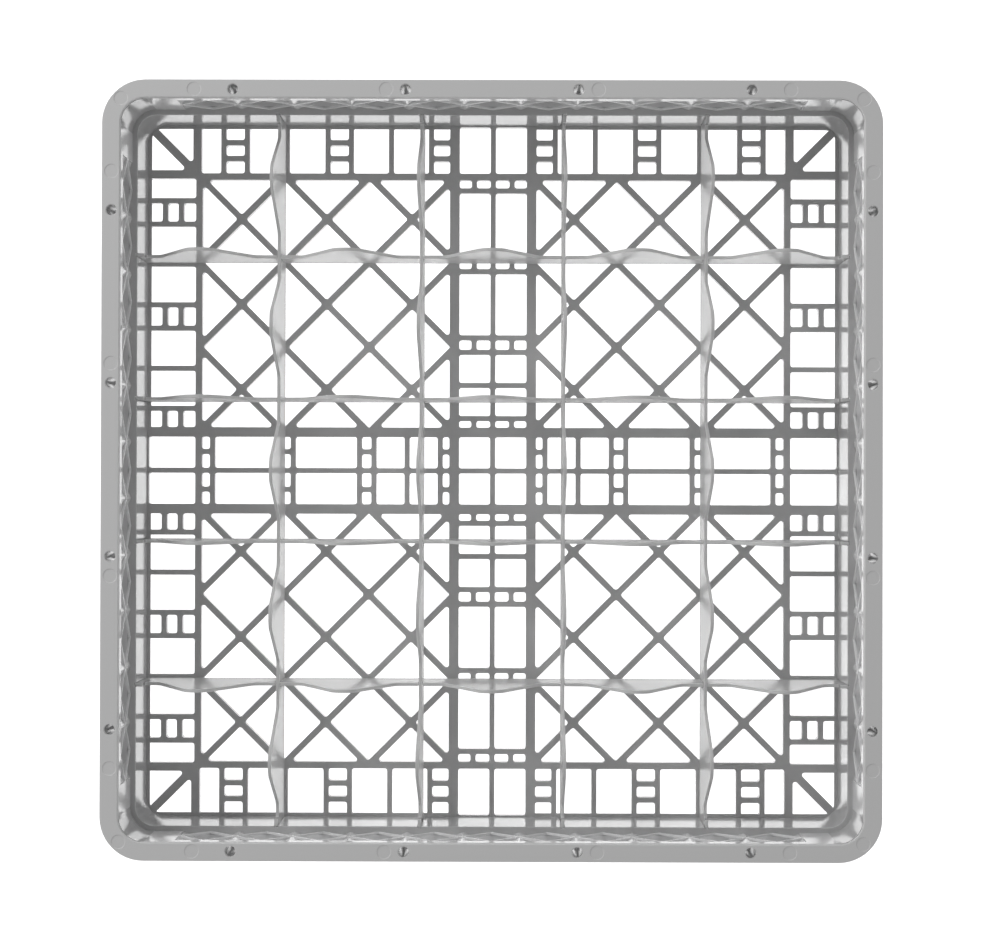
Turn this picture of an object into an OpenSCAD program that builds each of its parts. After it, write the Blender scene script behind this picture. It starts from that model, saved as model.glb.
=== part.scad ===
// Square dishwasher rack for glasses: a moulded open-grid basket with lattice
// walls, and two sets of interlocking slats that divide it into compartments.
// The rack stands on z = 0, centred on the origin, with its rim at the top.

/* [Basket] */
// Outside length of each side, across the rim
rack_w = 500; // [496:1:504]
// Height of the rim's top above the table
rack_h = 104; // [102:1:108]
// Width of the flat rim seen from above
rim_w = 11.6; // [11:0.1:12]
// Thickness of the rim's top plate
rim_t = 3; // [2.5:0.5:4]
// Outside radius of the rim's corners
rim_r = 28; // [26:1:30]
// Depth of the rim's turned-down outer skirt
skirt_h = 47; // [24:1:48]
// Thickness of the skirt
skirt_t = 2.2; // [1.6:0.1:2.4]
// Thickness of the lower wall and of the corners
wall_t = 2.5; // [2.2:0.1:2.8]
// Height of the ledge where the wall steps out
ledge_z = 54.5; // [52:0.5:58]

/* [Rim holes] */
// Diameter of the holes that take an extender's snap pins
hole_d = 6.8; // [6:0.1:7]
// Distance of the inner holes from the middle of a side
hole_near = 55.5; // [54:0.5:57]
// Distance of the outer holes from the middle of a side
hole_far = 166.2; // [165:0.1:168]

/* [Lattice] */
// Number of diamonds along each wall
diamonds = 11; // [9:2:11]
// Length of one diamond
diamond_pitch = 36.9; // [36:0.1:37]
// Width of the crossing ribs
rib_w = 1.6; // [1.2:0.1:2.4]
// Height of the plain band between the lattice and the rim
band_h = 7.5; // [5:0.5:10]

/* [Floor grid] */
// Depth of the floor's bars
floor_h = 8; // [6:0.5:9]
// Distance of the main double bars from the centre
main_at = 26.1; // [25.5:0.1:27]
// Width of the main bars
main_w = 6.6; // [5:0.1:7]
// Width of the thin bars
thin_w = 3.5; // [2.4:0.1:3.8]
// Width of the diagonal bars
diagonal_w = 4.3; // [3:0.1:4.6]

/* [Dividers] */
// Spacing of the dividers, which is one compartment
cell = 94.6; // [94:0.1:95.4]
// Thickness of a divider
divider_t = 2.2; // [1.8:0.1:2.4]
// Height of a divider's top edge where two dividers cross
saddle_z = 44.4; // [42:0.1:48]
// Height of the humps between the crossings
hump_z = 98; // [90:0.5:100]
// Half the length of a hump at its foot
hump_half = 31.5; // [28:0.5:33]
// Radius of a hump's round top
hump_r = 10; // [6:0.5:12]

/* [Hidden] */
$fn = 64;
grey = "#a3a3a3";
natural = "#e6e6e2";
joined = 0.5;                         // overlap of shapes that are one solid

// Plan of the basket, from outside to inside, as distances from the centre
half_w = rack_w / 2;
corner_at = half_w - rim_r;           // centre of every concentric corner arc
hole_at = half_w - 6.3;               // line of the holes in the rim
rim_in = half_w - rim_w;              // edge of the rim's opening
upper_in = rim_in - 0.4;              // inner face of the lattice wall
lower_out = rim_in - 1.3;             // nests inside the opening of a rack below
lower_in = lower_out - wall_t;        // inner face of the lower wall
frame_in = lower_in - 1;              // inner edge of the floor's frame
frame_r = 8;                          // radius of its corners
lip_in = frame_in - 1.4;              // inner edge of the frame's lip
lip_r = frame_r - 1.4;

// Heights
plate_z = rack_h - rim_t;             // underside of the rim's plate
band_z = plate_z - band_h;            // top of the lattice
ledge_t = 3;
lug_z = 5;                            // lower ends of the outer ribs, which rest on a rack below

// Pleated wall behind the lattice: a crest at every crossing, a valley in every diamond
crest_y = upper_in + 0.4;
valley_y = half_w - 4;
crest_flat = 0.6;                     // half the width of a crest
pleat_t = 1.5;
lattice_d = 1.6;
lattice_half = diamonds * diamond_pitch / 2;
lug_y = half_w - 4;
lug_w = 3;

// Floor lines, as distances from the centre
ring_at = half_w - 50.15;
ring_w = 4.5;
corner_bar_at = ring_at + 1.45;
corner_bar_w = 5.7;
rung_w = 3.6;
net = (ring_at - main_at) / 3;        // spacing of the diagonal net
net_half_lines = 2;                   // diagonals on each side of a quarter's middle one
lip_t = 2;
lip_gap = 23;                         // the lip stops this far from the middle of a side
border_bars = [42.1, 69.3, 96.6, 112.5, 140.2, 167.4, 183.4];
border_rungs = [212.2, 223];
ladders = [[main_at, 42.1], [96.6, 112.5], [167.4, 183.4]];
band_ladders = [35.6, 80.6, 90.5, 135.5, 145.4, 190.4];
band_single = 58.1;
band_rung = 12.8;

// Dividers
divider_at = [-1.5 * cell, -0.5 * cell, 0.5 * cell, 1.5 * cell];
groove_d = 1.1;                       // depth of the grooves in the walls
groove_w = divider_t + 0.4;
divider_end = lower_in + groove_d - 0.4;
divider_low = floor_h + 0.3;
slot_w = divider_t + 0.4;
slot_mid = (divider_low + saddle_z) / 2;
slot_play = 0.15;
slot_past = 1;                        // slots are cut this far past the edge
tab_w = 5.4;
hump_steps = 16;
hump_centre = hump_z - hump_r - saddle_z;
hump_reach = norm([hump_half, hump_centre]);
flank_turn = atan2(hump_centre, -hump_half) - asin(hump_r / hump_reach) - 90;

module round_square(half, r) {
    square([2 * half, 2 * (half - r)], center = true);
    square([2 * (half - r), 2 * half], center = true);
    for (x = [r - half, half - r])
        for (y = [r - half, half - r])
            translate([x, y])
                circle(r = r);
}

// A square whose corners lie on the arcs that the rim and the walls share
module outline(half) {
    round_square(half, half - corner_at);
}

module ring(outer, inner) {
    difference() {
        outline(outer);
        outline(inner);
    }
}

module four_sides() {
    for (turn = [0:3])
        rotate(90 * turn)
            children();
}

module both_ways() {
    children();
    mirror([1, 0, 0])
        children();
}

// A flat bar along Y, centred on x = at
module bar(at, w, from, to) {
    translate([at - w / 2, from])
        square([w, to - from]);
}

module rim() {
    color(grey) {
        difference() {
            translate([0, 0, plate_z])
                linear_extrude(rim_t)
                    ring(half_w, rim_in);
            four_sides()
                for (x = [-hole_far, -hole_near, hole_near, hole_far])
                    translate([x, hole_at, plate_z - slot_past])
                        cylinder(d = hole_d, h = rim_t + 2 * slot_past);
        }
        translate([0, 0, rack_h - skirt_h])
            linear_extrude(skirt_h)
                ring(half_w, half_w - skirt_t);
    }
}

// Zig-zag path of the pleated wall: a line at every valley and a narrow flat at every crest
pleats = concat(
    [[-lattice_half, crest_y], [-lattice_half + crest_flat, crest_y]],
    [
        for (i = [1 - diamonds:diamonds - 1])
            for (fold = i % 2 == 0 ? [0] : [-crest_flat, crest_flat])
                [i * diamond_pitch / 2 + fold, i % 2 == 0 ? valley_y : crest_y]
    ],
    [[lattice_half - crest_flat, crest_y], [lattice_half, crest_y]]
);

module pleated_wall() {
    last = len(pleats) - 1;
    polygon(concat(
        [for (p = pleats) p],
        [for (i = [last:-1:0]) pleats[i] + [0, pleat_t]]
    ));
}

// One rib of the lattice, drawn in the plane of the wall
module lattice_rib(x_low, x_high) {
    low = [x_low, ledge_z];
    high = [x_high, band_z];
    run = high - low;
    side = [rib_w / 2 * norm(run) / run[1], 0];
    polygon([low - side, low + side, high + side, high - side]);
}

module lattice() {
    intersection() {
        translate([-lattice_half, ledge_z])
            square([2 * lattice_half, band_z - ledge_z]);
        for (i = [-(diamonds + 1) / 2:(diamonds - 1) / 2]) {
            lattice_rib(i * diamond_pitch, (i + 1) * diamond_pitch);
            lattice_rib((i + 1) * diamond_pitch, i * diamond_pitch);
        }
    }
    translate([-lattice_half, band_z])
        square([2 * lattice_half, plate_z - band_z]);
}

// Stands a drawing in the plane of the wall up at a given distance, with a thickness
module upright(at, thickness) {
    translate([0, at + thickness, 0])
        rotate([90, 0, 0])
            linear_extrude(thickness)
                children();
}

// Plan of the lower wall, with the grooves that hold the ends of the dividers
module lower_wall() {
    difference() {
        translate([-corner_at, lower_in])
            square([2 * corner_at, wall_t]);
        for (x = divider_at)
            translate([x - groove_w / 2, lower_in - joined])
                square([groove_w, groove_d + joined]);
    }
}

// Plan of the ledge, which reaches out under the plain ends and under every pleat
module ledge() {
    last = len(pleats) - 1;
    translate([-corner_at, lower_out - joined])
        square([2 * corner_at, upper_in + wall_t - lower_out + joined]);
    polygon(concat(
        [for (p = pleats) [p[0], lower_out]],
        [for (i = [last:-1:0]) pleats[i] + [0, pleat_t]]
    ));
    both_ways()
        translate([lattice_half, lower_out])
            square([pleat_t, valley_y + pleat_t - lower_out]);
}

// Wall on the +Y side, which the other three repeat in quarter turns
module wall() {
    color(grey) {
        translate([0, 0, floor_h])
            linear_extrude(ledge_z - floor_h)
                lower_wall();
        translate([0, 0, ledge_z - ledge_t])
            linear_extrude(ledge_t)
                ledge();
        // Lattice and the plain band above it
        upright(upper_in, lattice_d)
            lattice();
        // Plain ends beside the lattice
        both_ways() {
            translate([lattice_half, upper_in, ledge_z])
                cube([corner_at - lattice_half, wall_t, plate_z - ledge_z]);
            translate([lattice_half, upper_in, ledge_z])
                cube([pleat_t, valley_y + pleat_t - upper_in, plate_z - ledge_z]);
        }
        translate([0, 0, ledge_z])
            linear_extrude(plate_z - ledge_z)
                pleated_wall();
        // Outer ribs below every crest
        for (i = [-(diamonds - 1) / 2 - 1:(diamonds - 1) / 2])
            translate([(i + 0.5) * diamond_pitch - lug_w / 2, lower_out, lug_z])
                cube([lug_w, lug_y - lower_out, ledge_z - ledge_t - lug_z]);
    }
}

// Corner on the +X +Y side: a quarter turn of the wall's section
module corner() {
    low_in = lower_in - corner_at;
    low_out = lower_out - corner_at;
    up_in = upper_in - corner_at;
    up_out = up_in + wall_t;
    color(grey)
        translate([corner_at, corner_at, 0])
            rotate_extrude(angle = 90)
                polygon([
                    [low_in, floor_h],
                    [low_out, floor_h],
                    [low_out, ledge_z - ledge_t],
                    [up_out, ledge_z - ledge_t],
                    [up_out, plate_z],
                    [up_in, plate_z],
                    [up_in, ledge_z],
                    [low_in, ledge_z]
                ]);
}

// Outer frame, inner ring, main bars and corner bars of the floor
module floor_main() {
    difference() {
        outline(lower_out);
        round_square(frame_in, frame_r);
    }
    difference() {
        square(2 * ring_at + ring_w, center = true);
        square(2 * ring_at - ring_w, center = true);
    }
    intersection() {
        outline(lower_out - joined);
        four_sides() {
            both_ways() {
                bar(main_at, main_w, 0, half_w);
                bar(corner_bar_at, corner_bar_w, ring_at, half_w);
            }
            rotate(-45)
                bar(0, corner_bar_w, ring_at * sqrt(2), half_w * sqrt(2));
        }
    }
}

// Diagonal net in one quarter of the floor
module floor_net() {
    span = ring_at - main_at;
    intersection() {
        translate([main_at, main_at])
            square(span);
        translate([main_at, main_at])
            for (k = [-net_half_lines:net_half_lines]) {
                translate([k * net, 0])
                    rotate(-45)
                        bar(0, diagonal_w, -span, 2 * span);
                translate([span + k * net, 0])
                    rotate(45)
                        bar(0, diagonal_w, -span, 2 * span);
            }
    }
}

module floor_thin() {
    intersection() {
        outline(lower_out - joined);
        four_sides() {
            bar(0, thin_w, 0, half_w);
            floor_net();
            both_ways() {
                for (at = border_bars)
                    bar(at, thin_w, ring_at, half_w);
                for (pair = ladders)
                    for (at = border_rungs)
                        translate([pair[0], at - rung_w / 2])
                            square([pair[1] - pair[0], rung_w]);
                for (i = [1, 3])
                    bar(band_rung, thin_w, band_ladders[i], band_ladders[i + 1]);
                bar(band_rung, thin_w, main_at, band_ladders[0]);
                bar(band_rung, thin_w, band_ladders[5], ring_at);
                for (at = concat(band_ladders, [band_single]))
                    translate([0, at - thin_w / 2])
                        square([main_at, thin_w]);
            }
        }
    }
}

// Thin lip along the inner edge of the frame, open at the middle of every side
module floor_lip() {
    difference() {
        round_square(frame_in + joined, frame_r + joined);
        round_square(lip_in, lip_r);
        four_sides()
            translate([-lip_gap, lip_in - 1])
                square([2 * lip_gap, frame_in - lip_in + 1]);
    }
}

module floor_grid() {
    color(grey) {
        linear_extrude(floor_h) {
            floor_main();
            floor_thin();
        }
        translate([0, 0, floor_h - lip_t])
            linear_extrude(lip_t)
                floor_lip();
    }
}

// Outline of one hump, from its left foot over its round top to its right foot
function hump(at) = concat(
    [[at - hump_half, saddle_z]],
    [
        for (i = [0:hump_steps])
            let (turn = 180 - flank_turn - i / hump_steps * (180 - 2 * flank_turn))
            [at + hump_r * cos(turn), hump_z - hump_r + hump_r * sin(turn)]
    ],
    [[at + hump_half, saddle_z]]
);

// A divider drawn in its own plane, before its slots are cut
module divider_outline() {
    polygon(concat(
        [[-divider_end, divider_low]],
        [[-divider_end, ledge_z], [-divider_end + tab_w, ledge_z], [-divider_end + tab_w, saddle_z]],
        [for (i = [-2:2]) for (p = hump(i * cell)) p],
        [[divider_end - tab_w, saddle_z], [divider_end - tab_w, ledge_z], [divider_end, ledge_z]],
        [[divider_end, divider_low]]
    ));
}

// Slots at the crossings, from one height to another
module crossing_slots(from, to) {
    for (x = divider_at)
        translate([x - slot_w / 2, from])
            square([slot_w, to - from]);
}

// Divider along X, slotted from above
module row_divider(i) {
    color(natural)
        translate([0, divider_at[i - 1], 0])
            upright(-divider_t / 2, divider_t)
                difference() {
                    divider_outline();
                    crossing_slots(slot_mid - slot_play, saddle_z + slot_past);
                }
}

// Divider along Y, slotted from below
module column_divider(i) {
    color(natural)
        rotate(90)
            translate([0, -divider_at[i - 1], 0])
                upright(-divider_t / 2, divider_t)
                    difference() {
                        divider_outline();
                        crossing_slots(divider_low - slot_past, slot_mid + slot_play);
                    }
}

rim();
wall();  // wall_back
rotate(90) wall();  // wall_left
rotate(180) wall();  // wall_front
rotate(270) wall();  // wall_right
corner();  // corner_back_right
rotate(90) corner();  // corner_back_left
rotate(180) corner();  // corner_front_left
rotate(270) corner();  // corner_front_right
floor_grid();
row_divider(1);  // row_divider_1
row_divider(2);  // row_divider_2
row_divider(3);  // row_divider_3
row_divider(4);  // row_divider_4
column_divider(1);  // column_divider_1
column_divider(2);  // column_divider_2
column_divider(3);  // column_divider_3
column_divider(4);  // column_divider_4
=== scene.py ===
"""The look of a square dishwasher rack: a grey moulded basket and clear lift-out dividers.

Lengths are in millimetres until build() writes a mesh in metres.
"""

import math

import bmesh
import bpy
from mathutils import Matrix, Vector
from mathutils.geometry import tessellate_polygon


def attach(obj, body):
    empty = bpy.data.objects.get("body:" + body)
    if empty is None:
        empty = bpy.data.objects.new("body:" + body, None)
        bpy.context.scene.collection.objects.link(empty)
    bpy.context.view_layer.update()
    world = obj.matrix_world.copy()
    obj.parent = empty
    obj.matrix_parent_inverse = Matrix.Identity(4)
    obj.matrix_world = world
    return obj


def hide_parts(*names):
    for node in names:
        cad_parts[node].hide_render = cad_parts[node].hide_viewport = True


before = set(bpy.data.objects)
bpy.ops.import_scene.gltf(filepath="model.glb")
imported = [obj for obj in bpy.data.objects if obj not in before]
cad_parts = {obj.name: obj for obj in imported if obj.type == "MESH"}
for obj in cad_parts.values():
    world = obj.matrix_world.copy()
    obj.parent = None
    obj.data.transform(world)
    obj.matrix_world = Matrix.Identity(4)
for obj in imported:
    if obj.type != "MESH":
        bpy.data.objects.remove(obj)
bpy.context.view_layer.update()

# ---------------------------------------------------------------- sizes, as in the CAD part

MM = 0.001
CORNER_AT = 222.0  # centre of the corner arcs, except the floor frame's and the lip's
RIM_OUT, RIM_IN = 250.0, 238.4
RIM_TOP, PLATE_Z, SKIRT_Z = 104.0, 101.0, 57.0
SKIRT_IN = 247.8
HOLE_AT, HOLE_R = 243.7, 3.4
HOLES = (-166.2, -55.5, 55.5, 166.2)
TUBE_T, TUBE_Z = 0.9, SKIRT_Z + 2  # tubes under the holes, only in the visual model
MARKS = (-191.0, -68.0, 68.0, 191.0)  # ejector pin marks on the rim, only in the visual model
CORNER_MARK = 237.8
MARK_R, MARK_D = 4.2, 0.45
UPPER_IN, LOWER_OUT, LOWER_IN = 238.0, 237.1, 234.6
FRAME_IN, FRAME_R, LIP_IN, LIP_GAP = 233.6, 8.0, 232.2, 23.0
LIP_Z, LIP_TOP = 6.0, 7.9
LEDGE_Z, LEDGE_LOW = 54.5, 51.5
UPPER_OUT = 240.5
BAND_Z = 93.5
RIB_W, LATTICE_D, LATTICE_PLATE_HALF = 1.6, 1.6, CORNER_AT + 2
OUTER_RIB_W, OUTER_RIB_Z = 3.0, 5.0
DIAMONDS, PITCH = 11, 36.9
LATTICE_HALF = DIAMONDS * PITCH / 2
LATTICE_STEPS = range(-(DIAMONDS + 1) // 2, (DIAMONDS + 1) // 2)
CREST, VALLEY, PLEAT_T, CREST_FLAT = 238.4, 246.0, 1.5, 0.6
PLEAT_END_AT, PLEAT_END_HALF = LATTICE_HALF + 0.6, 0.9
FLOOR_H = 8.0
MAIN_AT, MAIN_W = 26.1, 6.6
RING_AT, RING_W = 199.85, 4.5
THIN_W, RUNG_W, DIAGONAL_W = 3.5, 3.6, 4.3
CORNER_BAR_AT, CORNER_BAR_W = 201.3, 5.7
BORDER_BARS = (42.1, 69.3, 96.6, 112.5, 140.2, 167.4, 183.4)
LADDERS = (MAIN_AT, 96.6, 167.4)  # first bar of every ladder in the border
BORDER_RUNGS = (212.2, 223.0)
BAND_BARS = (35.6, 58.1, 80.6, 90.5, 135.5, 145.4, 190.4)
BAND_LADDERS = (MAIN_AT, 80.6, 135.5, 190.4)  # first bar of every ladder in the arms
BAND_RUNG = 12.8
CELL = 94.6
DIVIDERS = tuple((i - 1.5) * CELL for i in range(4))
DIVIDER_T, SLOT_HALF = 2.2, 1.3
DIVIDER_END, DIVIDER_LOW, SADDLE_Z = 235.3, 8.3, 44.4
SLOT_MID, SLOT_PLAY = (DIVIDER_LOW + SADDLE_Z) / 2, 0.15
HUMP_Z, HUMP_HALF, HUMP_R, HUMP_FOOT_R = 98.0, 31.5, 10.0, 5.0
TAB_W = 5.4
GROOVE_D, GROOVE_HALF = 1.1, 1.3
FLOOR_EDGE_R, PLATE_EDGE_R = 0.25, 0.35
FLOOR_CORNER_R, LATTICE_CORNER_R = 1.6, 0.8  # in the corners of their openings
JOINED = 0.5  # how far one shape reaches into the next
WALL_TOP = PLATE_Z + 0.2  # just inside the rim's plate
SMALLEST_CELL, SAME_POINT = 3, 0.01  # mm2 and mm, for the openings of a grid

# ---------------------------------------------------------------- shapes


def arc_steps(turn):
    """Number of straight pieces that stand for an arc."""
    return max(2, math.ceil(abs(turn) / math.radians(15)))


def outline(corners, grow=0.0):
    """Points of a closed outline of (x, y, radius) corners, counter-clockwise, grown outwards."""
    points = []
    for i, (x, y, r) in enumerate(corners):
        here = Vector((x, y))
        into = (here - Vector(corners[i - 1][:2])).normalized()
        out = (Vector(corners[(i + 1) % len(corners)][:2]) - here).normalized()
        n0, n1 = Vector((into.y, -into.x)), Vector((out.y, -out.x))
        turn = math.atan2(into.x * out.y - into.y * out.x, into.dot(out))
        sign = 1 if turn >= 0 else -1
        centre = here - sign * r * (n0 + n1) / (1 + n0.dot(n1))
        start, steps = math.atan2(n0.y, n0.x), arc_steps(turn)
        for k in range(steps + 1):
            a = start + turn * k / steps
            points.append(centre + (sign * r + grow) * Vector((math.cos(a), math.sin(a))))
    return points


def box_corners(x0, x1, y0, y1, r):
    return [(x0, y0, r), (x1, y0, r), (x1, y1, r), (x0, y1, r)]


def rounded_edges(z0, z1, r0, r1, steps=3):
    """Levels (z, inset) of a plate whose lower and upper edges are rounded."""
    turns = [math.pi / 2 * k / steps for k in range(steps + 1)]
    arcs = []
    for z, r, up in ((z0, r0, 1), (z1, r1, -1)):
        arc = [(z + up * r * (1 - math.cos(a)), r * (1 - math.sin(a))) for a in turns]
        arcs.append(arc if r else [(z, 0)])
    return arcs[0] + arcs[1][::-1]


def lying(point):
    """Leaves a drawing in the plane of the floor."""
    return point


def build(name, vertices, faces, turns=(0,)):
    """A mesh object in metres, with every shape repeated at these quarter turns."""
    mesh = bpy.data.meshes.new(name)
    all_vertices, all_faces = [], []
    for turn in turns:
        spin = Matrix.Rotation(turn * math.pi / 2, 3, "Z")
        first = len(all_vertices)
        all_vertices += [spin @ Vector(v) * MM for v in vertices]
        all_faces += [[first + i for i in face] for face in faces]
    mesh.from_pydata(all_vertices, [], all_faces)
    bm = bmesh.new()
    bm.from_mesh(mesh)
    bmesh.ops.remove_doubles(bm, verts=bm.verts, dist=1e-7)
    bmesh.ops.recalc_face_normals(bm, faces=bm.faces)
    bm.to_mesh(mesh)
    bm.free()
    obj = bpy.data.objects.new(name, mesh)
    bpy.context.scene.collection.objects.link(obj)
    return obj


def solid(outer, holes, levels, place=lying):
    """Vertices and faces of a plate with holes, through levels of (height, inset)."""
    vertices, faces = [], []
    loops = [(outer, -1)] + [(hole, 1) for hole in holes]
    rings = []
    for height, inset in levels:
        ring_set = []
        for corners, sign in loops:
            points = outline(corners, sign * inset)
            ring_set.append(list(range(len(vertices), len(vertices) + len(points))))
            vertices += [place((p.x, p.y, height)) for p in points]
        rings.append(ring_set)
    for low, high in zip(rings, rings[1:]):
        for a, b in zip(low, high):
            for i in range(len(a)):
                j = (i + 1) % len(a)
                faces.append((a[i], a[j], b[j], b[i]))
    for ring_set, (height, inset) in ((rings[0], levels[0]), (rings[-1], levels[-1])):
        flat_loops = [[Vector((*p, 0)) for p in outline(c, s * inset)] for c, s in loops]
        index = [i for ring in ring_set for i in ring]
        faces += [tuple(index[i] for i in face) for face in tessellate_polygon(flat_loops)]
    return vertices, faces


def joined(parts):
    """One list of vertices and faces from several."""
    vertices, faces = [], []
    for part_vertices, part_faces in parts:
        first = len(vertices)
        vertices += part_vertices
        faces += [tuple(first + i for i in face) for face in part_faces]
    return vertices, faces


def side_station(side, along, cut=0.0):
    """A place on the straight part of a side: the point on the corner square, outwards, and a cut."""
    a = side * math.pi / 2
    out = Vector((math.cos(a), math.sin(a)))
    return out * CORNER_AT + Vector((-out.y, out.x)) * along, out, cut


def corner_stations(side, centre_at=CORNER_AT, steps=12):
    """Places round the corner that follows a side, whose arc may have a centre of its own."""
    a = side * math.pi / 2
    centre = Matrix.Rotation(a, 2) @ Vector((centre_at, centre_at))
    turns = [a + math.pi / 2 * k / steps for k in range(steps + 1)]
    outs = [Vector((math.cos(t), math.sin(t))) for t in turns]
    return [(centre - (centre_at - CORNER_AT) * out, out, 0.0) for out in outs]


def sweep(profile, stations, closed):
    """Sweeps a closed profile of (distance from the centre, z, share of the cut) along stations."""
    vertices, faces = [], []
    n = len(profile)
    for base, out, cut in stations:
        for d, z, share in profile:
            p = base + (d - CORNER_AT + share * cut) * out
            vertices.append((p.x, p.y, z))
    spans = len(stations) if closed else len(stations) - 1
    for s in range(spans):
        a, b = s * n, (s + 1) % len(stations) * n
        for i in range(n):
            j = (i + 1) % n
            faces.append((a + i, a + j, b + j, b + i))
    if not closed:
        faces += [tuple(range(n)), tuple(range(len(vertices) - n, len(vertices)))]
    return vertices, faces


def profile_of(corners, cut_share=lambda d: 0.0):
    """A profile for sweep(), from its (distance, z, radius) corners."""
    return [(p.x, p.y, cut_share(p.x)) for p in outline(corners)]


# ---------------------------------------------------------------- openings of a grid


def clip(cell, normal, limit):
    """The part of a convex cell where the distance along normal is at least limit."""
    kept = []
    for i, here in enumerate(cell):
        before = cell[i - 1]
        h0, h1 = before.dot(normal) - limit, here.dot(normal) - limit
        if (h0 < 0) != (h1 < 0):
            kept.append(before.lerp(here, h0 / (h0 - h1)))
        if h1 >= 0:
            kept.append(here)
    return kept


def area(cell):
    """Area of a cell, counter-clockwise being positive."""
    return sum(a.x * b.y - a.y * b.x for a, b in zip(cell, cell[1:] + cell[:1])) / 2


def split(cells, point, direction, width):
    """Cuts a strip out of convex cells."""
    normal = Vector((-direction[1], direction[0])).normalized()
    middle = Vector(point).dot(normal)
    parts = []
    for cell in cells:
        for n, limit in ((normal, middle + width / 2), (-normal, width / 2 - middle)):
            part = clip(cell, n, limit)
            part = [p for i, p in enumerate(part) if (p - part[i - 1]).length > SAME_POINT]
            if len(part) > 2 and area(part) > SMALLEST_CELL:
                parts.append(part)
    return parts


def rectangle(x0, x1, y0, y1):
    return [Vector((x0, y0)), Vector((x1, y0)), Vector((x1, y1)), Vector((x0, y1))]


def opening(cell, radius):
    """Corners of a cell, rounded by radius or by what its edges leave room for."""
    corners = []
    for i, here in enumerate(cell):
        back, ahead = cell[i - 1] - here, cell[(i + 1) % len(cell)] - here
        half_angle = back.angle(ahead) / 2
        room = 0.45 * min(back.length, ahead.length) * math.tan(half_angle)
        corners.append((here.x, here.y, min(radius, room)))
    return corners


def between(bars, width, low, high):
    """Gaps that bars leave between low and high, each with the bar before it."""
    starts = [(None, low)] + [(bar, bar + width / 2) for bar in bars]
    ends = [bar - width / 2 for bar in bars] + [high]
    return [(bar, start, end) for (bar, start), end in zip(starts, ends)]


def mirrored(cell):
    return [Vector((-p.x, p.y)) for p in reversed(cell)]


def floor_openings():
    """Every opening of the floor grid as a convex cell."""
    main_in, main_out = MAIN_AT - MAIN_W / 2, MAIN_AT + MAIN_W / 2
    ring_in, ring_out = RING_AT - RING_W / 2, RING_AT + RING_W / 2
    side = []
    # Arms of the cross, with short ladders
    for bar, low, high in between(BAND_BARS, THIN_W, main_out, ring_in):
        cells = [rectangle(THIN_W / 2, main_in, low, high)]
        if (bar or MAIN_AT) in BAND_LADDERS:
            cells = split(cells, (BAND_RUNG, 0), (0, 1), THIN_W)
        side += cells
    # Border, with ladders across it
    for bar, low, high in between(BORDER_BARS, THIN_W, main_out, CORNER_BAR_AT - CORNER_BAR_W / 2):
        cells = [rectangle(low, high, ring_out, FRAME_IN)]
        if (bar or MAIN_AT) in LADDERS:
            for rung in BORDER_RUNGS:
                cells = split(cells, (0, rung), (1, 0), RUNG_W)
        side += cells
    side.append(rectangle(THIN_W / 2, main_in, ring_out, FRAME_IN))
    side += [mirrored(cell) for cell in side]
    # Hub
    side.append(rectangle(THIN_W / 2, main_in, THIN_W / 2, main_in))
    # Quarter with the diagonal net
    quarter = [rectangle(main_out, ring_in, main_out, ring_in)]
    net = (RING_AT - MAIN_AT) / 3
    for k in range(-2, 3):
        quarter = split(quarter, (MAIN_AT + k * net, MAIN_AT), (1, 1), DIAGONAL_W)
        quarter = split(quarter, (RING_AT + k * net, MAIN_AT), (-1, 1), DIAGONAL_W)
    # Corner with its diagonal bar
    low = CORNER_BAR_AT + CORNER_BAR_W / 2
    arc = outline(box_corners(0, FRAME_IN, 0, FRAME_IN, FRAME_R))
    rounded = [p for p in arc if min(p) >= FRAME_IN - FRAME_R - SAME_POINT]
    corner = [Vector((low, low)), Vector((FRAME_IN, low)), *rounded, Vector((low, FRAME_IN))]
    side += quarter + split([corner], (0, 0), (1, 1), CORNER_BAR_W)
    spins = [Matrix.Rotation(t * math.pi / 2, 2) for t in range(4)]
    return [[spin @ p for p in cell] for spin in spins for cell in side]


# ---------------------------------------------------------------- basket


def bevel_look(obj, angle=38):
    """Smooth shading over rounded edges, with flat faces kept flat."""
    obj.data.polygons.foreach_set("use_smooth", [True] * len(obj.data.polygons))
    obj.data.set_sharp_from_angle(angle=math.radians(angle))
    weighted = obj.modifiers.new("weighted_normals", "WEIGHTED_NORMAL")
    weighted.keep_sharp = True
    return obj


def full_ring(cuts=(), edge=0.2):
    """Stations round the whole basket, with grooves at the cuts of every side."""
    groove = ((-edge, 0), (0, GROOVE_D), (2 * GROOVE_HALF, GROOVE_D), (2 * GROOVE_HALF + edge, 0))
    stations = []
    for side in range(4):
        stations.append(side_station(side, -CORNER_AT + 1))
        for at in cuts:
            for step, cut in groove:
                stations.append(side_station(side, at - GROOVE_HALF + step, cut))
        stations.append(side_station(side, CORNER_AT - 1))
        stations += corner_stations(side)
    return stations


def make_floor():
    """The floor grid as one plate with its openings."""
    outer = box_corners(-LOWER_OUT, LOWER_OUT, -LOWER_OUT, LOWER_OUT, LOWER_OUT - CORNER_AT)
    holes = [opening(cell, FLOOR_CORNER_R) for cell in floor_openings()]
    levels = rounded_edges(0, FLOOR_H, FLOOR_EDGE_R, FLOOR_EDGE_R)
    return build("floor_grid_moulding", *solid(outer, holes, levels))


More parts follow.
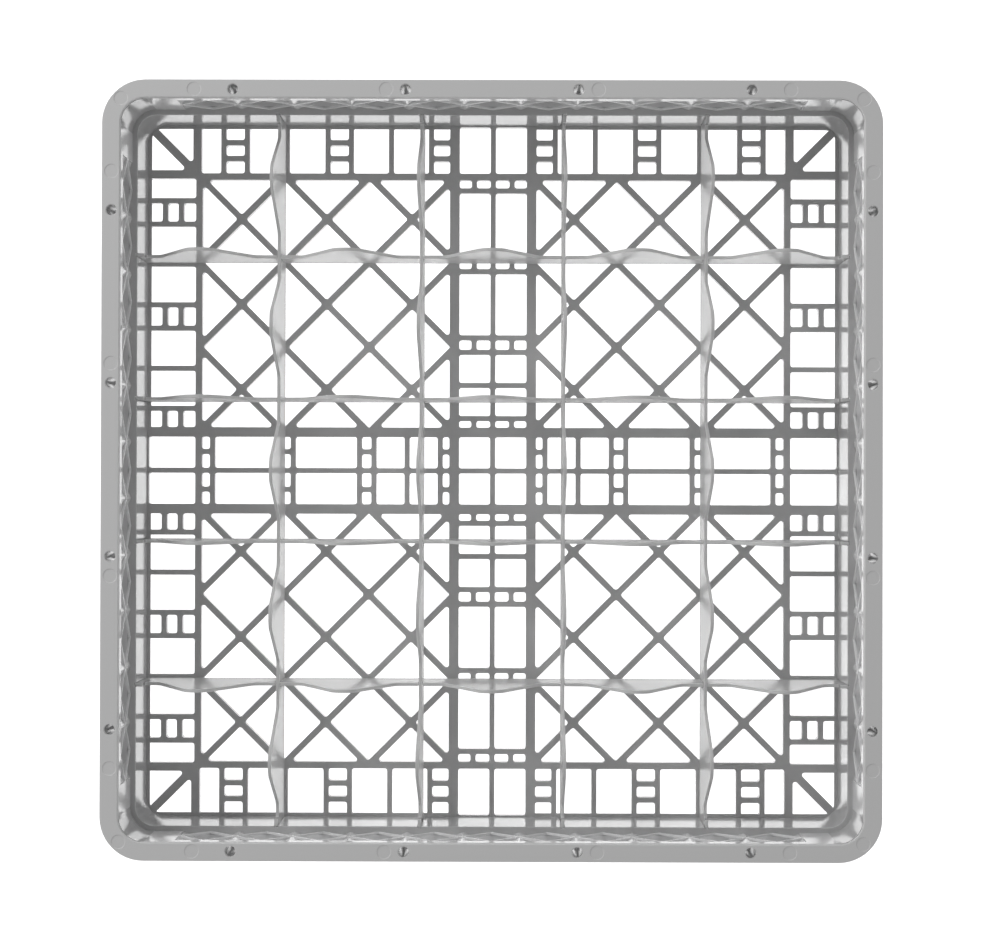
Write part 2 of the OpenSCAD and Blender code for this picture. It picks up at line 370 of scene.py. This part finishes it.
def make_lip():
    """A thin lip inside the frame, left out at the middle of every side."""
    outer = FRAME_IN + JOINED
    corners = [(LIP_IN, LIP_Z, 0.5), (outer, LIP_Z, 0.1), (outer, LIP_TOP, 0.1), (LIP_IN, LIP_TOP, 0.5)]
    profile = profile_of(corners)
    corner = corner_stations(0, FRAME_IN - FRAME_R)
    stations = [side_station(0, LIP_GAP), *corner, side_station(1, -LIP_GAP)]
    return build("floor_lip", *sweep(profile, stations, closed=False), turns=range(4))


def make_lower_wall():
    """The lower wall and the inner part of its ledge, with the dividers' grooves."""
    foot, outside = FLOOR_H - 1, LOWER_OUT - 0.05
    corners = [
        (LOWER_IN, foot, 0.1),
        (outside, foot, 0.1),
        (outside, LEDGE_LOW, 0.6),
        (UPPER_OUT, LEDGE_LOW, 0.5),
        (UPPER_OUT, LEDGE_Z, 0.5),
        (LOWER_IN, LEDGE_Z, 0.7),
    ]
    inner_face = LOWER_IN + 0.8
    profile = profile_of(corners, lambda d: 1.0 if d < inner_face else 0.0)
    return build("lower_wall", *sweep(profile, full_ring(DIVIDERS), closed=True))


def upright(at, thickness):
    """Puts a drawing of (along, z) into the plane of the +Y wall."""
    return lambda p: (p[0], at + thickness - p[2], p[1])


def make_lattice():
    """A plate along every side with crossing ribs under a plain band."""
    half = LATTICE_PLATE_HALF
    outer = box_corners(-half, half, LEDGE_Z - 1, PLATE_Z + JOINED, 0.4)
    cells = [rectangle(-LATTICE_HALF, LATTICE_HALF, LEDGE_Z - 0.3, BAND_Z)]
    rise = BAND_Z - LEDGE_Z
    for i in LATTICE_STEPS:
        cells = split(cells, (i * PITCH, LEDGE_Z), (PITCH, rise), RIB_W)
        cells = split(cells, ((i + 1) * PITCH, LEDGE_Z), (-PITCH, rise), RIB_W)
    holes = [opening(cell, LATTICE_CORNER_R) for cell in cells]
    levels = rounded_edges(0, LATTICE_D, PLATE_EDGE_R, PLATE_EDGE_R)
    plate = solid(outer, holes, levels, upright(UPPER_IN, LATTICE_D))
    return build("lattice", *plate, turns=range(4))


def make_pleats():
    """The pleated wall, its plain ends, and the ledge under it."""
    inner = [(-LATTICE_HALF, CREST)]
    for i in range(1 - DIAMONDS, DIAMONDS):
        x = i * PITCH / 2
        crest = [(x - CREST_FLAT, CREST), (x + CREST_FLAT, CREST)]
        inner += crest if i % 2 else [(x, VALLEY)]
    inner.append((LATTICE_HALF, CREST))
    outer = [(x, y + PLEAT_T) for x, y in reversed(inner)]
    pleat_corners = [(x, y, 0.5) for x, y in inner + outer]
    pleats = solid(pleat_corners, [], [(LEDGE_Z - JOINED, 0), (WALL_TOP, 0)])
    ends = []
    for x in (PLEAT_END_AT, -PLEAT_END_AT):
        low, high = x - PLEAT_END_HALF, x + PLEAT_END_HALF
        end = box_corners(low, high, UPPER_IN + 1, VALLEY + PLEAT_T, 0.3)
        ends.append(solid(end, [], [(LEDGE_LOW + 0.3, 0), (WALL_TOP, 0)]))
    base = [(-LATTICE_HALF, LOWER_OUT + 1, 0.3), (LATTICE_HALF, LOWER_OUT + 1, 0.3)]
    ledge_corners = base + [(x, y - 0.1, 0.4) for x, y in outer]
    ledge = solid(ledge_corners, [], rounded_edges(LEDGE_LOW + 0.1, LEDGE_Z - 0.1, 0.3, 0.3))
    return build("pleated_wall", *joined([pleats, ledge, *ends]), turns=range(4))


def make_upper_corners():
    corners = box_corners(UPPER_IN, UPPER_OUT, LEDGE_Z - JOINED, WALL_TOP, 0.1)
    profile = profile_of(corners)
    return build("upper_corners", *sweep(profile, corner_stations(0), closed=False), turns=range(4))


def make_outer_ribs():
    """Ribs outside the lower wall, under every crest and both ends of the pleats."""
    levels = rounded_edges(OUTER_RIB_Z, LEDGE_LOW + JOINED, 0.5, 0)
    ribs = []
    for i in LATTICE_STEPS:
        x, half = (i + 0.5) * PITCH, OUTER_RIB_W / 2
        rib = box_corners(x - half, x + half, LOWER_OUT - 0.3, VALLEY, 0.5)
        ribs.append(solid(rib, [], levels))
    return build("outer_ribs", *joined(ribs), turns=range(4))


def circle(x, y, radius, sides=32):
    """Corners of a circle."""
    turns = [2 * math.pi * k / sides for k in range(sides)]
    return [(x + radius * math.cos(a), y + radius * math.sin(a), 0.05) for a in turns]


def make_bosses():
    """A tube under every hole of the rim."""
    levels = rounded_edges(TUBE_Z, WALL_TOP, 0.3, 0)
    tubes = []
    for x in HOLES:
        outer, inner = circle(x, HOLE_AT, HOLE_R + TUBE_T), circle(x, HOLE_AT, HOLE_R)
        tubes.append(solid(outer, [inner], levels))
    return build("hole_bosses", *joined(tubes), turns=range(4))


def make_rim():
    """The rim's plate and skirt, with holes and ejector marks cut into it."""
    corners = [
        (RIM_IN, PLATE_Z, 0.5),
        (SKIRT_IN, PLATE_Z, 0.8),
        (SKIRT_IN, SKIRT_Z, 0.5),
        (RIM_OUT, SKIRT_Z, 0.8),
        (RIM_OUT, RIM_TOP, 0.7),
        (RIM_IN, RIM_TOP, 0.7),
    ]
    rim = build("rim_moulding", *sweep(profile_of(corners), full_ring(), closed=True))
    top = RIM_TOP
    chamfer = [(top - 0.5, 0), (top - 0.15, -0.15), (top, -0.5), (top + 1, -1.5)]
    hole_levels = [(PLATE_Z - 1, 0), *chamfer]
    mark_levels = [(top - MARK_D, 0), (top + 0.05, -0.5), (top + 1, -0.5)]
    cutters = [solid(circle(x, HOLE_AT, HOLE_R), [], hole_levels) for x in HOLES]
    for x, y in [(x, HOLE_AT) for x in MARKS] + [(CORNER_MARK, CORNER_MARK)]:
        cutters.append(solid(circle(x, y, MARK_R), [], mark_levels))
    cutter = build("cutter", *joined(cutters), turns=range(4))
    cut = rim.modifiers.new("holes", "BOOLEAN")
    cut.operation, cut.solver, cut.object = "DIFFERENCE", "MANIFOLD", cutter
    depsgraph = bpy.context.evaluated_depsgraph_get()
    rim.data = bpy.data.meshes.new_from_object(rim.evaluated_get(depsgraph))
    rim.modifiers.clear()
    bpy.data.objects.remove(cutter)
    return rim


# ---------------------------------------------------------------- dividers


def slot_corners(at, mouth_z, end_z):
    """Corners of a slot in a divider's edge, in the order that goes round the divider."""
    half = SLOT_HALF if mouth_z < end_z else -SLOT_HALF
    near, far = at - half, at + half
    return [(near, mouth_z, 0.6), (near, end_z, 0.4), (far, end_z, 0.4), (far, mouth_z, 0.6)]


def divider_corners(slotted_from_above):
    """Corners of a divider in its own plane, counter-clockwise from its lower left."""
    end, tab = DIVIDER_END, DIVIDER_END - TAB_W
    corners = [(-end, DIVIDER_LOW, 0.8)]
    if not slotted_from_above:
        for at in DIVIDERS:
            corners += slot_corners(at, DIVIDER_LOW, SLOT_MID + SLOT_PLAY)
    corners += [(end, DIVIDER_LOW, 0.8), (end, LEDGE_Z, 1), (tab, LEDGE_Z, 1), (tab, SADDLE_Z, 1.5)]
    centre = HUMP_Z - HUMP_R - SADDLE_Z
    flank = math.atan2(centre, -HUMP_HALF) - math.asin(HUMP_R / math.hypot(HUMP_HALF, centre))
    apex = SADDLE_Z - HUMP_HALF * math.tan(flank)
    for i in range(2, -3, -1):
        at = i * CELL
        left, right = at - HUMP_HALF, at + HUMP_HALF
        corners += [(right, SADDLE_Z, HUMP_FOOT_R), (at, apex, HUMP_R), (left, SADDLE_Z, HUMP_FOOT_R)]
        if slotted_from_above and i > -2:
            corners += slot_corners(at - CELL / 2, SADDLE_Z, SLOT_MID - SLOT_PLAY)
    return corners + [(-tab, SADDLE_Z, 1.5), (-tab, LEDGE_Z, 1), (-end, LEDGE_Z, 1)]


def make_divider(name, at, along_x):
    """One slat, standing upright at its place."""

    def place(p):
        across = p[2] - DIVIDER_T / 2
        return (p[0], at - across, p[1]) if along_x else (at + across, p[0], p[1])

    levels = rounded_edges(0, DIVIDER_T, PLATE_EDGE_R, PLATE_EDGE_R)
    return build(name, *solid(divider_corners(along_x), [], levels, place))


# ---------------------------------------------------------------- materials


def new_material(name):
    material = bpy.data.materials.new(name)
    material.use_nodes = True
    nodes, links = material.node_tree.nodes, material.node_tree.links
    return material, nodes, links, nodes["Principled BSDF"]


def grey_plastic(name, dark, pale):
    """Moulded grey plastic that varies between two tones."""
    material, nodes, links, shader = new_material(name)
    shader.inputs["IOR"].default_value = 1.5
    place = nodes.new("ShaderNodeTexCoord")
    grain = nodes.new("ShaderNodeTexNoise")
    grain.inputs["Scale"].default_value = 1400
    grain.inputs["Detail"].default_value = 3
    links.new(place.outputs["Object"], grain.inputs["Vector"])
    cloud = nodes.new("ShaderNodeTexNoise")
    cloud.inputs["Scale"].default_value = 45
    cloud.inputs["Detail"].default_value = 5
    links.new(place.outputs["Object"], cloud.inputs["Vector"])
    tone = nodes.new("ShaderNodeValToRGB")
    for element, position, value in zip(tone.color_ramp.elements, (0.35, 0.65), (dark, pale)):
        element.position = position
        element.color = (value, value, 1.005 * value, 1)
    links.new(cloud.outputs["Fac"], tone.inputs["Fac"])
    links.new(tone.outputs["Color"], shader.inputs["Base Color"])
    gloss = nodes.new("ShaderNodeMapRange")
    gloss.inputs["To Min"].default_value = 0.1
    gloss.inputs["To Max"].default_value = 0.16
    links.new(cloud.outputs["Fac"], gloss.inputs["Value"])
    links.new(gloss.outputs["Result"], shader.inputs["Roughness"])
    bump = nodes.new("ShaderNodeBump")
    bump.inputs["Strength"].default_value = 0.06
    bump.inputs["Distance"].default_value = 0.0002
    links.new(grain.outputs["Fac"], bump.inputs["Height"])
    links.new(bump.outputs["Normal"], shader.inputs["Normal"])
    return material


def clear_plastic():
    """Milky plastic: clear but blurred through its sides, duller at its top edges, whose darker base
    colour is painted shade.
    """
    material, nodes, links, shader = new_material("natural_polypropylene")
    shader.inputs["IOR"].default_value = 1.49
    shader.inputs["Roughness"].default_value = 0.28
    place = nodes.new("ShaderNodeTexCoord")
    cloud = nodes.new("ShaderNodeTexNoise")
    cloud.inputs["Scale"].default_value = 60
    cloud.inputs["Detail"].default_value = 4
    links.new(place.outputs["Object"], cloud.inputs["Vector"])
    facing = nodes.new("ShaderNodeNewGeometry")
    split_normal = nodes.new("ShaderNodeSeparateXYZ")
    links.new(facing.outputs["Normal"], split_normal.inputs["Vector"])
    edge = nodes.new("ShaderNodeMapRange")
    edge.inputs["From Min"].default_value = 0.03
    edge.inputs["From Max"].default_value = 0.25
    links.new(split_normal.outputs["Z"], edge.inputs["Value"])
    # painted shade: up-facing top edges get a darker base colour (0.8, against 0.9 on the sides)
    tone = nodes.new("ShaderNodeMix")
    tone.data_type = "RGBA"
    tone.inputs["A"].default_value = (0.9, 0.9, 0.9, 1)
    tone.inputs["B"].default_value = (0.8, 0.8, 0.8, 1)
    links.new(edge.outputs["Result"], tone.inputs["Factor"])
    links.new(tone.outputs["Result"], shader.inputs["Base Color"])
    through = nodes.new("ShaderNodeBsdfRefraction")
    through.inputs["IOR"].default_value = 1.03
    through.inputs["Roughness"].default_value = 0.25
    through.inputs["Color"].default_value = (0.99, 0.99, 0.99, 1)
    glow = nodes.new("ShaderNodeBsdfTranslucent")
    glow.inputs["Color"].default_value = (0.97, 0.97, 0.97, 1)
    inside = nodes.new("ShaderNodeMixShader")
    inside.inputs["Fac"].default_value = 0.2
    links.new(through.outputs["BSDF"], inside.inputs[1])
    links.new(glow.outputs["BSDF"], inside.inputs[2])
    share = nodes.new("ShaderNodeMapRange")
    share.inputs["To Min"].default_value = 0.2
    share.inputs["To Max"].default_value = 0.8
    links.new(edge.outputs["Result"], share.inputs["Value"])
    surface = nodes.new("ShaderNodeMixShader")
    links.new(share.outputs["Result"], surface.inputs["Fac"])
    links.new(inside.outputs["Shader"], surface.inputs[1])
    links.new(shader.outputs["BSDF"], surface.inputs[2])
    links.new(surface.outputs["Shader"], nodes["Material Output"].inputs["Surface"])
    return material


def white_floor():
    """A bright floor that lets a camera below it see through."""
    material, nodes, links, shader = new_material("white_floor")
    shader.inputs["Base Color"].default_value = (0.9, 0.9, 0.9, 1)
    shader.inputs["Roughness"].default_value = 0.9
    shader.inputs["Emission Color"].default_value = (1, 1, 1, 1)
    shader.inputs["Emission Strength"].default_value = 1.0
    side = nodes.new("ShaderNodeNewGeometry")
    clear_side = nodes.new("ShaderNodeBsdfTransparent")
    surface = nodes.new("ShaderNodeMixShader")
    links.new(side.outputs["Backfacing"], surface.inputs["Fac"])
    links.new(shader.outputs["BSDF"], surface.inputs[1])
    links.new(clear_side.outputs["BSDF"], surface.inputs[2])
    links.new(surface.outputs["Shader"], nodes["Material Output"].inputs["Surface"])
    return material


# ---------------------------------------------------------------- assembly

WALLS = ["wall_front", "wall_right", "wall_back", "wall_left"]
CORNERS = ["corner_front_left", "corner_front_right", "corner_back_right", "corner_back_left"]
PAINTED_LIGHT_PIECES = ("lattice", "pleated_wall")  # painted light: a paler copy of the grey plastic makes these pieces look brightly lit
grey, clear = grey_plastic("grey_polypropylene", dark=0.53, pale=0.57), clear_plastic()
# painted light: a paler copy of the grey plastic, standing in for light on the lattice and pleats
painted_light_grey = grey_plastic("painted_light_grey_polypropylene", dark=0.8, pale=0.85)

basket_pieces = [
    (make_floor(), ["floor_grid"]),
    (make_lip(), []),
    (make_lower_wall(), WALLS + CORNERS),
    (make_lattice(), []),
    (make_pleats(), []),
    (make_upper_corners(), []),
    (make_outer_ribs(), []),
    (make_rim(), ["rim"]),
    (make_bosses(), []),
]
for piece, replaced in basket_pieces:
    # the lattice and pleats take the paler grey, which is painted light
    bevel_look(piece).data.materials.append(painted_light_grey if piece.name in PAINTED_LIGHT_PIECES else grey)
    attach(piece, "basket")
    if replaced:
        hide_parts(*replaced)

for i, at in enumerate(DIVIDERS, start=1):
    for kind, along_x in (("row", True), ("column", False)):
        piece = bevel_look(make_divider(f"{kind}_slat_{i}", at, along_x))
        piece.data.materials.append(clear)
        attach(piece, "row_dividers" if along_x else f"column_divider_{i}")
        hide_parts(f"{kind}_divider_{i}")

# ---------------------------------------------------------------- stage, lights, camera

# From here on in metres
STAGE_HALF, STAGE_Z = 3, -0.0005
KEY_AT, KEY_SIZE, KEY_POWER, KEY_TARGET = (-1.5, 1.15, 1.25), 0.9, 13, (0, 0, 0.05)
CAMERA_AT, CAMERA_TILT, CAMERA_LENS = (0.0127, -0.0061, 1.62), (0.411, 0.271, 0.148), 85.44

floor_mesh = bpy.data.meshes.new("stage_floor")
stage_square = rectangle(-STAGE_HALF, STAGE_HALF, -STAGE_HALF, STAGE_HALF)
floor_corners = [(p.x, p.y, STAGE_Z) for p in stage_square]
floor_mesh.from_pydata(floor_corners, [], [(0, 1, 2, 3)])
floor = bpy.data.objects.new("stage_floor", floor_mesh)
floor_mesh.materials.append(white_floor())
bpy.context.scene.collection.objects.link(floor)

world = bpy.data.worlds.new("studio")
world.use_nodes = True
sky_nodes, sky_links = world.node_tree.nodes, world.node_tree.links
sky_nodes["Background"].inputs["Color"].default_value = (1, 1, 1, 1)
direction = sky_nodes.new("ShaderNodeTexCoord")
split_direction = sky_nodes.new("ShaderNodeSeparateXYZ")
sky_links.new(direction.outputs["Generated"], split_direction.inputs["Vector"])
sky = sky_nodes.new("ShaderNodeMapRange")  # brightest at the horizon
sky.inputs["To Min"].default_value = 0.62
sky.inputs["To Max"].default_value = 0.24
sky_links.new(split_direction.outputs["Z"], sky.inputs["Value"])
sky_links.new(sky.outputs["Result"], sky_nodes["Background"].inputs["Strength"])
bpy.context.scene.world = world


def softbox(name, place, size, power):
    """A square light that looks at the rack."""
    light = bpy.data.lights.new(name, "AREA")
    light.shape, light.size, light.energy = "SQUARE", size, power
    obj = bpy.data.objects.new(name, light)
    obj.location = place
    towards = Vector(KEY_TARGET) - Vector(place)
    obj.rotation_euler = towards.to_track_quat("-Z", "Y").to_euler()
    bpy.context.scene.collection.objects.link(obj)


softbox("key_back_left", KEY_AT, KEY_SIZE, KEY_POWER)

camera = bpy.data.cameras.new("camera")
camera.sensor_width, camera.lens = 36, CAMERA_LENS
camera_obj = bpy.data.objects.new("camera", camera)
camera_obj.location = CAMERA_AT
camera_obj.rotation_euler = [math.radians(a) for a in CAMERA_TILT]
bpy.context.scene.collection.objects.link(camera_obj)
bpy.context.scene.camera = camera_obj
bpy.context.scene.view_settings.view_transform = "Standard"
